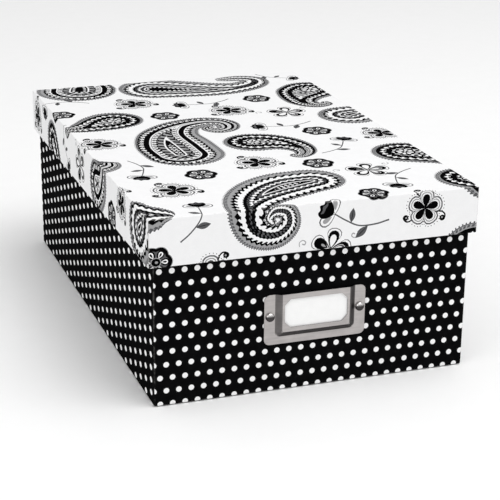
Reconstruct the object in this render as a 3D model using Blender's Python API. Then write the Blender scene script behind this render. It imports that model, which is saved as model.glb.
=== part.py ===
"""Photo storage box with a loose lid and a stamped label holder.

The box is made as such boxes are: a scored board tray and a scored board lid, each held
with gummed tape at its corners, wrapped in printed paper and lined. The label holder is
sheet metal, held by two brads whose legs are bent flat inside the wall.

Metres, +Z up. The origin is on the ground under the middle of the box. The label faces -Y.
"""

import math

import bmesh
import bpy
from mathutils import Matrix, Vector

# Whole box, over the lid
LID_WIDTH = 0.195
LID_LENGTH = 0.294
BOX_HEIGHT = 0.111
SKIRT_HEIGHT = 0.0275
LID_CLEARANCE = 0.00055

# Sheet stock and the room between its layers
BOARD = 0.0013
PAPER = 0.0002
TAPE = 0.00015
GLUE_LINE = 0.0003
SEAT_GAP = 0.0003

# Folds, seen in section and from above
CORNER_RADIUS = 0.0012
TIGHT_RADIUS = 0.0001
EDGE_FOLD_RADIUS = 0.0006
RIM_FOLD_RADIUS = 0.0002
BOARD_FOLD_RADIUS = 0.0004
CORNER_STEPS = 4
FOLD_STEPS = 4

# How far the papers and the tape reach
BASE_TURN_IN = 0.015
LID_TURN_IN = 0.021
TURN_UNDER = 0.015
MITRE_GAP = 0.0003
MITRE_START = 0.003
BOARD_SEAM = 0.0003
UNCUT_SCORE = 0.0002
STAY_LEG = 0.018
LINING_REVEAL = 0.0005
UNDERSIDE_MARGIN = 0.003

# Label holder, its heights measured up from the plate's lower edge
PLATE_WIDTH = 0.0608
PLATE_HEIGHT = 0.030
PLATE_CORNER = 0.0033
PLATE_THICKNESS = 0.0004
PLATE_ABOVE_FLOOR = 0.0289
POCKET_WIDTH = 0.0480
POCKET_BOTTOM = 0.0045
POCKET_RISE = 0.0019
SIDE_SLOPE = 0.0038
BOTTOM_SLOPE = 0.0031
POCKET_OUTER_CORNER = 0.0030
POCKET_INNER_CORNER = 0.0012
SLOPE_STEPS = 6
POCKET_CORNER_STEPS = 5
WINDOW_WIDTH = 0.0378
WINDOW_BOTTOM = 0.0101
WINDOW_TOP_BAR = 0.0030
WINDOW_CLIP = 0.0035

# Card in the pocket
CARD_THICKNESS = 0.00035
CARD_SIDE_GAP = 0.00035
CARD_CORNER = 0.0008
CARD_BELOW_TOP = 0.0005

# Brads
BRAD_FROM_PLATE_END = 0.0034
BRAD_HEIGHT_ON_PLATE = 0.0169
HEAD_DIAMETER = 0.0052
HEAD_RISE = 0.0018
HEAD_EDGE = 0.0003
HEAD_STEPS = 8
HEAD_SIDES = 32
BRAD_HOLE_DIAMETER = 0.0032
LEG_THICKNESS = 0.00045
LEG_WIDTH = 0.0024
LEG_SPLIT = 0.0001
LEG_REACH = 0.0085
LEG_BEND_RADIUS = 0.0005
LEG_TIP_LENGTH = 0.0015
LEG_TIP_SHARE = 0.4

# Spare length of a cutter past what it cuts
OVERCUT = 0.001

# Layers of a covered wall, counted inwards from the face of its paper
COVER = PAPER + GLUE_LINE + TAPE + GLUE_LINE
LINING_INSET = COVER + BOARD + GLUE_LINE
WALL = LINING_INSET + PAPER

# Tray sizes over its paper
BASE_WIDTH = LID_WIDTH - 2 * (WALL + LID_CLEARANCE)
BASE_LENGTH = LID_LENGTH - 2 * (WALL + LID_CLEARANCE)

# Heights in the lid, from its top down to the tray's rim
LID_RIM = BOX_HEIGHT - SKIRT_HEIGHT
LID_BOARD_TOP = BOX_HEIGHT - PAPER - GLUE_LINE
LID_BOARD_RIM = LID_RIM + PAPER + GLUE_LINE
LID_LINING_TOP = LID_BOARD_TOP - BOARD - GLUE_LINE
LID_LINING_FACE = LID_LINING_TOP - PAPER
BASE_RIM = LID_LINING_FACE - SEAT_GAP

# Heights in the tray, from the ground up
WRAP_FOOT = PAPER + GLUE_LINE
BASE_BOARD_FOOT = WRAP_FOOT + PAPER + GLUE_LINE
BASE_BOARD_RIM = BASE_RIM - PAPER - GLUE_LINE
BASE_LINING_FOOT = BASE_BOARD_FOOT + BOARD + GLUE_LINE
BASE_LINING_RIM = BASE_RIM - BASE_TURN_IN - LINING_REVEAL

# Planes of the label holder, as distances in front of the box's middle
WALL_FACE = BASE_LENGTH / 2
PLATE_BACK = WALL_FACE + SEAT_GAP
PLATE_FACE = PLATE_BACK + PLATE_THICKNESS
CARD_FACE = PLATE_BACK + POCKET_RISE - SEAT_GAP
LINING_FACE = WALL_FACE - WALL

FRONT_AND_BACK = (("front", -1), ("back", 1))
LEFT_AND_RIGHT = (("left", -1), ("right", 1))


# Scene helpers

def clear_scene():
    for item in list(bpy.data.objects):
        bpy.data.objects.remove(item, do_unlink=True)


def new_object(name, builder):
    """Turn finished mesh data into a named object, with the faces of a closed body out."""
    bmesh.ops.recalc_face_normals(builder, faces=builder.faces)
    mesh = bpy.data.meshes.new(name)
    builder.to_mesh(mesh)
    builder.free()
    item = bpy.data.objects.new(name, mesh)
    bpy.context.scene.collection.objects.link(item)
    return item


def finish(item, look):
    """Give a piece its material: (name, colour, roughness, metallic)."""
    name, colour, roughness, metallic = look
    material = bpy.data.materials.get(name)
    if material is None:
        material = bpy.data.materials.new(name)
        material.use_nodes = True
        shader = material.node_tree.nodes["Principled BSDF"]
        shader.inputs["Base Color"].default_value = (*colour, 1)
        shader.inputs["Roughness"].default_value = roughness
        shader.inputs["Metallic"].default_value = metallic
    item.data.materials.append(material)
    return item


def smooth(item, sharp_angle=35):
    item.data.shade_smooth()
    item.data.set_sharp_from_angle(angle=math.radians(sharp_angle))


def as_tool(item):
    """Keep a shape as a tool for a Boolean and out of the model."""
    item.hide_render = True
    item.display_type = "WIRE"
    return item


def combine(item, tool, operation):
    step = item.modifiers.new(f"{operation.lower()} {tool.name}", "BOOLEAN")
    step.operation = operation
    step.solver = "EXACT"
    step.object = tool


def hang_on(item, carrier):
    """Carry a piece that was modelled in place on an empty that stands on its joint."""
    item.parent = carrier
    item.location = -carrier.location


LID_PRINT = ("lid printed paper", (0.86, 0.86, 0.87), 0.35, 0.0)
BASE_PRINT = ("base printed paper", (0.012, 0.012, 0.013), 0.45, 0.0)
GREYBOARD = ("greyboard", (0.38, 0.34, 0.28), 0.9, 0.0)
GUMMED_TAPE = ("gummed tape", (0.56, 0.40, 0.24), 0.8, 0.0)
LINING_PAPER = ("lining paper", (0.82, 0.81, 0.78), 0.75, 0.0)
PEWTER = ("pewter plated steel", (0.47, 0.44, 0.43), 0.34, 1.0)
CARD_STOCK = ("card stock", (0.90, 0.90, 0.89), 0.6, 0.0)


# Outlines and sections

def arc(centre, radius, start, end, steps):
    """Points on an arc, with its angles in degrees."""
    points = []
    for step in range(steps + 1):
        angle = math.radians(start + (end - start) * step / steps)
        points.append(Vector(centre) + radius * Vector((math.cos(angle), math.sin(angle))))
    return points


def beside(path, distance):
    """A path moved to its left, with mitred bends."""
    moved = []
    for index, point in enumerate(path):
        arriving = point - path[index - 1] if index > 0 else path[1] - point
        leaving = path[index + 1] - point if index < len(path) - 1 else arriving
        first = Vector((-arriving.y, arriving.x)).normalized()
        second = Vector((-leaving.y, leaving.x)).normalized()
        bisector = (first + second).normalized()
        moved.append(point + bisector * (distance / bisector.dot(first)))
    return moved


def sheet_section(path, thickness):
    """The closed outline of a sheet whose face follows a path, with its body on the left."""
    return path + beside(path, thickness)[::-1]


def rounded_rectangle(half_width, half_length, radius):
    """Points round a rectangle with round corners, anticlockwise."""
    points = []
    for x_side, y_side, start in ((1, -1, -90), (1, 1, 0), (-1, 1, 90), (-1, -1, 180)):
        centre = (x_side * (half_width - radius), y_side * (half_length - radius))
        points += arc(centre, radius, start, start + 90, CORNER_STEPS)
    return points


def swept_round(name, width, length, section, closed):
    """Sweep a section round a box. Its points are (inset from the box's face, height).

    An open section starts and ends on a flat panel, which is filled in.
    """
    builder = bmesh.new()
    rings = []
    for inset, height in section:
        radius = max(CORNER_RADIUS - inset, TIGHT_RADIUS)
        outline = rounded_rectangle(width / 2 - inset, length / 2 - inset, radius)
        rings.append([builder.verts.new((x, y, height)) for x, y in outline])
    followers = rings[1:] + rings[:1] if closed else rings[1:]
    for ring, follower in zip(rings, followers):
        for index in range(len(ring)):
            back = index - 1
            builder.faces.new((ring[back], ring[index], follower[index], follower[back]))
    if not closed:
        builder.faces.new(rings[0])
        builder.faces.new(rings[-1])
    return new_object(name, builder)


def extruded(name, outline, axis, start, end):
    """Extrude a flat outline along X, Y or Z. It lies on the two other axes, in order."""
    builder = bmesh.new()
    corners = []
    for first, second in outline:
        place = [first, second]
        place.insert("XYZ".index(axis), start)
        corners.append(builder.verts.new(place))
    face = builder.faces.new(corners)
    grown = bmesh.ops.extrude_face_region(builder, geom=[face])
    travel = Vector([end - start if letter == axis else 0 for letter in "XYZ"])
    moved = [part for part in grown["geom"] if isinstance(part, bmesh.types.BMVert)]
    bmesh.ops.translate(builder, verts=moved, vec=travel)
    return new_object(name, builder)


def slabs(name, placements):
    """Boxes in one tool: each is (centre, sizes, turn about Z in degrees)."""
    builder = bmesh.new()
    for centre, sizes, turn in placements:
        place = Matrix.Translation(centre) @ Matrix.Rotation(math.radians(turn), 4, "Z")
        bmesh.ops.create_cube(builder, size=1, matrix=place @ Matrix.Diagonal((*sizes, 1)))
    return as_tool(new_object(name, builder))


# Board

def board_tray(name, width, length, panel, rim):
    """A blank folded up from its panel to its rim, which may lie above or below it."""
    way = 1 if rim > panel else -1
    fold = []
    for step in range(FOLD_STEPS + 1):
        angle = math.radians(90 * step / FOLD_STEPS)
        inset = COVER + BOARD_FOLD_RADIUS * (1 - math.sin(angle))
        fold.append((inset, panel + way * BOARD_FOLD_RADIUS * (1 - math.cos(angle))))
    inner = COVER + BOARD
    section = fold + [(COVER, rim), (inner, rim), (inner, panel + way * BOARD)]
    tray = swept_round(name, width, length, section, closed=False)
    combine(tray, corner_seams(name, width, length, panel, rim, way), "DIFFERENCE")
    return finish(tray, GREYBOARD)


def corner_seams(name, width, length, panel, rim, way):
    """The seam at each upright corner, where a side's end meets the end wall's inner face."""
    low = panel + way * (BOARD + UNCUT_SCORE)
    high = rim + way * OVERCUT
    across = BOARD + 2 * OVERCUT
    placements = []
    for _, x_side in LEFT_AND_RIGHT:
        for _, y_side in FRONT_AND_BACK:
            x = x_side * (width / 2 - COVER - BOARD / 2)
            y = y_side * (length / 2 - COVER - BOARD - BOARD_SEAM / 2)
            sizes = (across, BOARD_SEAM, abs(high - low))
            placements.append(((x, y, (low + high) / 2), sizes, 0))
    return slabs(f"{name}_seams", placements)


def corner_stays(prefix, width, length, low, high):
    """Gummed tape folded round each upright corner of a tray."""
    half_width = width / 2 - PAPER - GLUE_LINE
    half_length = length / 2 - PAPER - GLUE_LINE
    radius = max(CORNER_RADIUS - PAPER - GLUE_LINE, TAPE + TIGHT_RADIUS)
    path = [Vector((half_width, half_length - STAY_LEG))]
    path += arc((half_width - radius, half_length - radius), radius, 0, 90, CORNER_STEPS)
    path += [Vector((half_width - STAY_LEG, half_length))]
    section = sheet_section(path, TAPE)
    stays = []
    for end, y_side in FRONT_AND_BACK:
        for side, x_side in LEFT_AND_RIGHT:
            outline = [(x_side * x, y_side * y) for x, y in section]
            name = f"{prefix}_corner_stay_{end}_{side}"
            stays.append(finish(extruded(name, outline, "Z", low, high), GUMMED_TAPE))
    return stays


# Paper

def inner_corner_slits(name, width, length, low, high):
    """Slits where two turned-in edges of paper meet in an upright inner corner."""
    inset = WALL - PAPER / 2
    reach = 2 * (PAPER + GLUE_LINE)
    placements = []
    for _, x_side in LEFT_AND_RIGHT:
        for _, y_side in FRONT_AND_BACK:
            centre = (x_side * (width / 2 - inset), y_side * (length / 2 - inset), (low + high) / 2)
            placements.append((centre, (reach, MITRE_GAP, high - low), 45 * x_side * y_side))
    return slabs(name, placements)


def turn_under_mitres(name):
    """Diagonal slits where two turned-under edges of paper meet below the tray."""
    middle = (MITRE_START + TURN_UNDER + OVERCUT) / 2
    run = math.sqrt(2) * (TURN_UNDER + OVERCUT - MITRE_START)
    height = WRAP_FOOT + PAPER / 2
    placements = []
    for _, x_side in LEFT_AND_RIGHT:
        for _, y_side in FRONT_AND_BACK:
            x = x_side * (BASE_WIDTH / 2 - middle)
            y = y_side * (BASE_LENGTH / 2 - middle)
            placements.append(((x, y, height), (run, MITRE_GAP, PAPER + GLUE_LINE), 45 * x_side * y_side))
    return slabs(name, placements)


def base_wrap():
    """Printed paper: turned in over the rim, down the wall and turned under at the foot."""
    rim_radius = RIM_FOLD_RADIUS + PAPER
    foot_radius = EDGE_FOLD_RADIUS + PAPER
    path = [Vector((WALL, BASE_RIM - BASE_TURN_IN))]
    path += arc((WALL - rim_radius, BASE_RIM - rim_radius), rim_radius, 0, 90, FOLD_STEPS)
    path += arc((rim_radius, BASE_RIM - rim_radius), rim_radius, 90, 180, FOLD_STEPS)
    path += arc((foot_radius, WRAP_FOOT + foot_radius), foot_radius, 180, 270, FOLD_STEPS)
    path += [Vector((TURN_UNDER, WRAP_FOOT))]
    section = sheet_section(path, PAPER)
    wrap = swept_round("base_wrap", BASE_WIDTH, BASE_LENGTH, section, closed=True)
    smooth(wrap)
    slit_low = BASE_RIM - BASE_TURN_IN - OVERCUT
    slit_high = BASE_RIM - rim_radius - MITRE_GAP
    slits = inner_corner_slits("base_wrap_slits", BASE_WIDTH, BASE_LENGTH, slit_low, slit_high)
    combine(wrap, slits, "DIFFERENCE")
    combine(wrap, turn_under_mitres("base_wrap_mitres"), "DIFFERENCE")
    return finish(wrap, BASE_PRINT)


def lid_wrap():
    """Printed paper: over the top, down the skirts and turned in at the rim."""
    top_radius = EDGE_FOLD_RADIUS + PAPER
    rim_radius = RIM_FOLD_RADIUS + PAPER
    path = arc((top_radius, BOX_HEIGHT - top_radius), top_radius, 90, 180, FOLD_STEPS)
    path += arc((rim_radius, LID_RIM + rim_radius), rim_radius, 180, 270, FOLD_STEPS)
    path += arc((WALL - rim_radius, LID_RIM + rim_radius), rim_radius, 270, 360, FOLD_STEPS)
    path += [Vector((WALL, LID_RIM + LID_TURN_IN))]
    section = sheet_section(path, PAPER)
    wrap = swept_round("lid_wrap", LID_WIDTH, LID_LENGTH, section, closed=False)
    smooth(wrap)
    slit_low = LID_RIM + rim_radius + MITRE_GAP
    slit_high = LID_RIM + LID_TURN_IN + OVERCUT
    slits = inner_corner_slits("lid_wrap_slits", LID_WIDTH, LID_LENGTH, slit_low, slit_high)
    combine(wrap, slits, "DIFFERENCE")
    return finish(wrap, LID_PRINT)


def base_lining(brad_holes):
    """Lining paper folded up from the floor to the wrap's turned-in edge."""
    inner = LINING_INSET + PAPER
    section = [
        (LINING_INSET, BASE_LINING_FOOT),
        (LINING_INSET, BASE_LINING_RIM),
        (inner, BASE_LINING_RIM),
        (inner, BASE_LINING_FOOT + PAPER),
    ]
    lining = swept_round("base_lining", BASE_WIDTH, BASE_LENGTH, section, closed=False)
    combine(lining, brad_holes, "DIFFERENCE")
    return finish(lining, LINING_PAPER)


def flat_sheet(name, width, length, inset, low):
    section = [(inset, low), (inset, low + PAPER)]
    sheet = swept_round(name, width, length, section, closed=False)
    return finish(sheet, LINING_PAPER)


# Label holder, card and brads

def pocket_path(share):
    """The U of the pocket's wall at a share of its slope, from the top left to the top right."""
    half_width = POCKET_WIDTH / 2 - share * SIDE_SLOPE
    bottom = PLATE_ABOVE_FLOOR + POCKET_BOTTOM + share * BOTTOM_SLOPE
    top = PLATE_ABOVE_FLOOR + PLATE_HEIGHT
    radius = POCKET_OUTER_CORNER + share * (POCKET_INNER_CORNER - POCKET_OUTER_CORNER)
    left = arc((-half_width + radius, bottom + radius), radius, 180, 270, POCKET_CORNER_STEPS)
    right = arc((half_width - radius, bottom + radius), radius, 270, 360, POCKET_CORNER_STEPS)
    return [Vector((-half_width, top))] + left + right + [Vector((half_width, top))]


def plate_rim():
    """The plate's edge round both ends and the bottom, from the pocket's right to its left."""
    half_width = PLATE_WIDTH / 2
    bottom = PLATE_ABOVE_FLOOR
    top = bottom + PLATE_HEIGHT
    inner_x = half_width - PLATE_CORNER
    points = arc((inner_x, top - PLATE_CORNER), PLATE_CORNER, 90, 0, POCKET_CORNER_STEPS)
    points += arc((inner_x, bottom + PLATE_CORNER), PLATE_CORNER, 0, -90, POCKET_CORNER_STEPS)
    points += arc((-inner_x, bottom + PLATE_CORNER), PLATE_CORNER, 270, 180, POCKET_CORNER_STEPS)
    points += arc((-inner_x, top - PLATE_CORNER), PLATE_CORNER, 180, 90, POCKET_CORNER_STEPS)
    return points


def pressed_surface():
    """The back of the stamped plate: flange, sloping pocket wall and raised field."""
    builder = bmesh.new()
    paths = []
    for step in range(SLOPE_STEPS + 1):
        share = step / SLOPE_STEPS
        rise = POCKET_RISE * (1 - math.cos(math.pi * share)) / 2
        places = [(x, -PLATE_BACK - rise, z) for x, z in pocket_path(share)]
        paths.append([builder.verts.new(place) for place in places])
    rim = [builder.verts.new((x, -PLATE_BACK, z)) for x, z in plate_rim()]
    builder.faces.new(paths[0] + rim)
    for outer, inner in zip(paths, paths[1:]):
        for index in range(len(outer) - 1):
            following = index + 1
            corners = (outer[index], inner[index], inner[following], outer[following])
            builder.faces.new(corners).smooth = True
    builder.faces.new(paths[-1])
    plate = new_object("label_holder", builder)
    field = plate.data.polygons[-1]
    if field.normal.y > 0:
        plate.data.flip_normals()
    return plate


def window_cutter():
    half_width = WINDOW_WIDTH / 2
    low = PLATE_ABOVE_FLOOR + WINDOW_BOTTOM
    high = PLATE_ABOVE_FLOOR + PLATE_HEIGHT - WINDOW_TOP_BAR
    outline = [
        (-half_width + WINDOW_CLIP, low),
        (half_width - WINDOW_CLIP, low),
        (half_width, low + WINDOW_CLIP),
        (half_width, high - WINDOW_CLIP),
        (half_width - WINDOW_CLIP, high),
        (-half_width + WINDOW_CLIP, high),
        (-half_width, high - WINDOW_CLIP),
        (-half_width, low + WINDOW_CLIP),
    ]
    front = -PLATE_FACE - POCKET_RISE - OVERCUT
    return as_tool(extruded("label_window", outline, "Y", front, -PLATE_BACK))


def label_holder(brad_holes):
    """Stamped plate with a raised pocket, open at the top, and a window with clipped corners."""
    holder = pressed_surface()
    thickness = holder.modifiers.new("sheet metal", "SOLIDIFY")
    thickness.thickness = PLATE_THICKNESS
    thickness.offset = 1
    thickness.use_even_offset = True
    combine(holder, window_cutter(), "DIFFERENCE")
    combine(holder, brad_holes, "DIFFERENCE")
    return finish(holder, PEWTER)


def label_card():
    """Blank card that stands in the pocket, with its origin on the line it slides along."""
    width = POCKET_WIDTH - 2 * (SIDE_SLOPE + CARD_SIDE_GAP)
    low = PLATE_ABOVE_FLOOR + POCKET_BOTTOM + BOTTOM_SLOPE
    high = PLATE_ABOVE_FLOOR + PLATE_HEIGHT - CARD_BELOW_TOP
    outline = rounded_rectangle(width / 2, (high - low) / 2, CARD_CORNER)
    card = extruded("label_card", outline, "Y", 0, CARD_THICKNESS)
    card.location = (0, -CARD_FACE, (low + high) / 2)
    return finish(card, CARD_STOCK)


def brad_x():
    return PLATE_WIDTH / 2 - BRAD_FROM_PLATE_END


def brad_height():
    return PLATE_ABOVE_FLOOR + BRAD_HEIGHT_ON_PLATE


def brad_hole_cutter():
    """The two holes that run through the plate, the papers and the board of the front wall."""
    builder = bmesh.new()
    front = -PLATE_FACE - OVERCUT
    back = -LINING_FACE + OVERCUT
    for _, x_side in LEFT_AND_RIGHT:
        centre = (x_side * brad_x(), (front + back) / 2, brad_height())
        place = Matrix.Translation(centre) @ Matrix.Rotation(math.radians(90), 4, "X")
        bmesh.ops.create_cone(
            builder,
            cap_ends=True,
            segments=HEAD_SIDES,
            radius1=BRAD_HOLE_DIAMETER / 2,
            radius2=BRAD_HOLE_DIAMETER / 2,
            depth=back - front,
            matrix=place,
        )
    return as_tool(new_object("brad_holes", builder))


def brad_head(name):
    """Low dome, turned about Y, with its seat on the plane y = 0."""
    radius = HEAD_DIAMETER / 2
    dome = HEAD_RISE - HEAD_EDGE
    builder = bmesh.new()
    profile = [builder.verts.new((0, 0, 0)), builder.verts.new((radius, 0, 0))]
    for step in range(HEAD_STEPS + 1):
        angle = math.radians(90 * step / HEAD_STEPS)
        height = HEAD_EDGE + dome * math.sin(angle)
        profile.append(builder.verts.new((radius * math.cos(angle), -height, 0)))
    edges = [builder.edges.new(pair) for pair in zip(profile, profile[1:])]
    bmesh.ops.spin(
        builder,
        geom=profile + edges,
        cent=(0, 0, 0),
        axis=(0, 1, 0),
        angle=math.radians(360),
        steps=HEAD_SIDES,
        use_merge=True,
    )
    bmesh.ops.remove_doubles(builder, verts=builder.verts, dist=0.000001)
    head = new_object(name, builder)
    smooth(head)
    return head


def brad_leg(name, side):
    """One leg: out of the head, through the wall and bent flat along the lining."""
    shank_x = (LEG_SPLIT + LEG_THICKNESS) / 2
    flat_y = PLATE_FACE + SEAT_GAP - LINING_FACE + SEAT_GAP + LEG_THICKNESS / 2
    bend = (shank_x + LEG_BEND_RADIUS, flat_y - LEG_BEND_RADIUS)
    path = [Vector((shank_x, -HEAD_EDGE))]
    path += arc(bend, LEG_BEND_RADIUS, 180, 90, FOLD_STEPS)
    path += [Vector((LEG_REACH - LEG_TIP_LENGTH, flat_y)), Vector((LEG_REACH, flat_y))]
    face = beside(path, -LEG_THICKNESS / 2)
    outline = [(side * x, y) for x, y in sheet_section(face, LEG_THICKNESS)]
    leg = extruded(name, outline, "Z", -LEG_WIDTH / 2, LEG_WIDTH / 2)
    for corner in leg.data.vertices:
        if side * corner.co.x > LEG_REACH - LEG_TIP_LENGTH / 2:
            corner.co.z *= LEG_TIP_SHARE
    return as_tool(leg)


def brad(name, x_side):
    """Brad with its origin on its own axis, where its head seats on the plate."""
    head = brad_head(name)
    place = (x_side * brad_x(), -PLATE_FACE - SEAT_GAP, brad_height())
    head.location = place
    for side_name, side in LEFT_AND_RIGHT:
        leg = brad_leg(f"{name}_{side_name}_leg", side)
        leg.location = place
        combine(head, leg, "UNION")
    return finish(head, PEWTER)


# Assembly

def build_base():
    brad_holes = brad_hole_cutter()
    board = board_tray("base_board", BASE_WIDTH, BASE_LENGTH, BASE_BOARD_FOOT, BASE_BOARD_RIM)
    combine(board, brad_holes, "DIFFERENCE")
    stay_low = BASE_BOARD_FOOT + BOARD_FOLD_RADIUS
    corner_stays("base", BASE_WIDTH, BASE_LENGTH, stay_low, BASE_BOARD_RIM)
    combine(base_wrap(), brad_holes, "DIFFERENCE")
    base_lining(brad_holes)
    flat_sheet("base_underside_sheet", BASE_WIDTH, BASE_LENGTH, UNDERSIDE_MARGIN, 0)
    label_holder(brad_holes)
    for side_name, x_side in LEFT_AND_RIGHT:
        brad(f"{side_name}_brad", x_side)
    label_card()


def build_lid():
    lift = bpy.data.objects.new("lid_lift", None)
    lift.location = (0, 0, LID_RIM)
    bpy.context.scene.collection.objects.link(lift)
    stay_high = LID_BOARD_TOP - BOARD_FOLD_RADIUS
    pieces = corner_stays("lid", LID_WIDTH, LID_LENGTH, LID_BOARD_RIM, stay_high)
    pieces.append(board_tray("lid_board", LID_WIDTH, LID_LENGTH, LID_BOARD_TOP, LID_BOARD_RIM))
    pieces.append(lid_wrap())
    lining_inset = WALL + LINING_REVEAL
    pieces.append(flat_sheet("lid_lining", LID_WIDTH, LID_LENGTH, lining_inset, LID_LINING_FACE))
    for piece in pieces:
        hang_on(piece, lift)


clear_scene()
build_base()
build_lid()
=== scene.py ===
"""Looks of the photo storage box: its printed papers, board, metal, card, lights and camera.

The lid's paper is a flat sheet that is drawn first and folded afterwards. Paisleys, flowers and
rosebuds are outlines on the flat sheet, the sheet is cut along them, and every cut piece takes the
ink that was printed last on it. The sheet then folds over the lid as its wrap does.
"""

import math
import random

import bpy
import numpy as np
from mathutils import Matrix, Vector
from mathutils.geometry import delaunay_2d_cdt


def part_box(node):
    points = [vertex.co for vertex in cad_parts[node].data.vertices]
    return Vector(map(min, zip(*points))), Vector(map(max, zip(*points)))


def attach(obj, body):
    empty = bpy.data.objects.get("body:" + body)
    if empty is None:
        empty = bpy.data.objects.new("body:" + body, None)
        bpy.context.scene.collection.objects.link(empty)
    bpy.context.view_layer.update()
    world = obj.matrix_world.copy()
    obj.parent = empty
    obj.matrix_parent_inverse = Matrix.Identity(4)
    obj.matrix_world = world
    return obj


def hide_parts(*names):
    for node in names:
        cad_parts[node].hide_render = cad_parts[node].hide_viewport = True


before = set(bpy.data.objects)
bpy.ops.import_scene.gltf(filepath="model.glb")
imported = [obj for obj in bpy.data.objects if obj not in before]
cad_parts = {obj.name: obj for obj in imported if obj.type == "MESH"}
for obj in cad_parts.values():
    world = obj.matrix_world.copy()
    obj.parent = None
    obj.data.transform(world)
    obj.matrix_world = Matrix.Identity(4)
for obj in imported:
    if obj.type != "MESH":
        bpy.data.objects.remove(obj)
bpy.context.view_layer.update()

# Camera
CAMERA_LENS = 110.0
CAMERA_TARGET = Vector((0.0123, 0.0, 0.0313))
CAMERA_DISTANCE = 0.995
CAMERA_AZIMUTH = -19.65
CAMERA_ELEVATION = 19.95
CAMERA_ROLL = 0.64
SENSOR_WIDTH = 36.0

# Studio. Softboxes are (name, place, width, height, power in watts), and all of them face LIGHT_AIM
WORLD_STRENGTH = 0.69
SOFTBOXES = (
    ("key", (0.5, -0.6, 1.8), 1.4, 1.4, 18.0),
    ("left_fill", (-1.5, -0.7, 0.8), 1.2, 1.0, 3.7),
)
LIGHT_AIM = Vector((0.0, 0.0, 0.05))
FLOOR_SIZE = 12

# The drawing is in millimetres on the flat sheet, and the scene is in metres
MM = 0.001

# Lid paper, in millimetres, as the wrap is folded. WALL runs from its outside to its turned-in end
LID_LOW, LID_HIGH = (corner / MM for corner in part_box("lid_wrap"))
HALF_WIDTH = LID_HIGH.x
HALF_LENGTH = LID_HIGH.y
LID_TOP = LID_HIGH.z
LID_RIM = LID_LOW.z
WALL = 2.75
TURN_IN = 21.0
TOP_FOLD_RADIUS = 0.8
RIM_FOLD_RADIUS = 0.4
SHEET_THICKNESS = 0.2
CORNER_RADIUS = 1.2
FOLD_STEPS = 5
CORNER_EASE = 5.0

# Flat top between the folds
FLAT_WIDTH = HALF_WIDTH - TOP_FOLD_RADIUS
FLAT_LENGTH = HALF_LENGTH - TOP_FOLD_RADIUS

# How wide the curve in petal() is before its width is set
PETAL_WIDTH = 1.54

# Steps along one stretch of a paisley's spine, from one seed on it to the next, and round its head
SPINE_STEPS = 6
SEED_STEP = 6
HEAD_STEPS = 14

# Half width at which a paisley's bands have their full size, and the least share of it
FULL_HALF_WIDTH = 13.0
LEAST_SHARE = 0.32

# Fewest corners of a band of a paisley. Smaller remains of one aren't printed
FEWEST_CORNERS = 6

# Inks in printing order: (name, colour, roughness, specular level)
PAPER, LIGHT, GREY, BLACK = range(4)
INKS = (
    ("lid_paper", (0.89, 0.89, 0.895), 0.5, 0.15),
    ("lid_light_grey_ink", (0.34, 0.34, 0.345), 0.5, 0.02),
    ("lid_grey_ink", (0.10, 0.10, 0.105), 0.5, 0.006),
    ("lid_black_ink", (0.002, 0.002, 0.0022), 0.5, 0.0004),
)

# Colour of the paper's core, and how much of it shows on rubbed folds of the lid and of the tray. On the
# lid's white paper this grey is also painted crease shade
BARE_PAPER_AND_CREASE_SHADE = (0.62, 0.61, 0.59)
FOLD_WEAR_AND_SHADE = 0.4
TRAY_WEAR = 0.1

# Tooth of printed paper, where plain paper has 1, and the shade of the dark parts of its mottling
PRINT_TOOTH = 0.5
MOTTLE_SHADE = 0.955

# Radius of the metal's softened edges in metres, and the samples that find them
EDGE_ROUNDING = 0.00018
EDGE_SAMPLES = 6

# Slack in millimetres when the sheet is cut, and when a place on it is told from its folds
CUT_TOLERANCE = 0.0005
FLAT_TOLERANCE = 0.001

# The kind of result of delaunay_2d_cdt() that has only the triangles inside an outline
INSIDE_OUTLINES = 1


# Camera and studio

def make_camera():
    data = bpy.data.cameras.new("photo_camera")
    data.lens = CAMERA_LENS
    data.sensor_width = SENSOR_WIDTH
    camera = bpy.data.objects.new("photo_camera", data)
    bpy.context.scene.collection.objects.link(camera)
    azimuth = math.radians(CAMERA_AZIMUTH)
    elevation = math.radians(CAMERA_ELEVATION)
    back = Vector((
        math.sin(azimuth) * math.cos(elevation),
        -math.cos(azimuth) * math.cos(elevation),
        math.sin(elevation),
    ))
    turn = back.to_track_quat("Z", "Y").to_matrix()
    turn = turn @ Matrix.Rotation(math.radians(CAMERA_ROLL), 3, "Z")
    camera.matrix_world = Matrix.Translation(CAMERA_TARGET + back * CAMERA_DISTANCE) @ turn.to_4x4()
    bpy.context.scene.camera = camera


def softbox(name, place, width, height, power):
    """A rectangular light that faces the object."""
    data = bpy.data.lights.new(name, "AREA")
    data.shape = "RECTANGLE"
    data.size = width
    data.size_y = height
    data.energy = power
    light = bpy.data.objects.new(name, data)
    bpy.context.scene.collection.objects.link(light)
    light.location = place
    light.rotation_euler = (LIGHT_AIM - Vector(place)).to_track_quat("-Z", "Y").to_euler()


def make_studio():
    """Even light from all round, two softboxes and a pale floor, as for a picture in a catalogue."""
    scene = bpy.context.scene
    scene.view_settings.view_transform = "Standard"
    world = bpy.data.worlds.new("studio")
    world.use_nodes = True
    background = world.node_tree.nodes["Background"]
    background.inputs["Color"].default_value = (1, 1, 1, 1)
    background.inputs["Strength"].default_value = WORLD_STRENGTH
    scene.world = world
    for row in SOFTBOXES:
        softbox(*row)

    bpy.ops.mesh.primitive_plane_add(size=FLOOR_SIZE, location=(0, 0, 0))
    floor = bpy.context.object
    floor.name = "floor"
    look = Pattern("floor", roughness=0.8, specular=0.2)
    grain = look.noise(scale=60, detail=3)
    look.set_colour(look.mix(grain, (0.94, 0.94, 0.94), (0.97, 0.97, 0.97)))
    floor.data.materials.append(look.material)


# Materials

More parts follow.
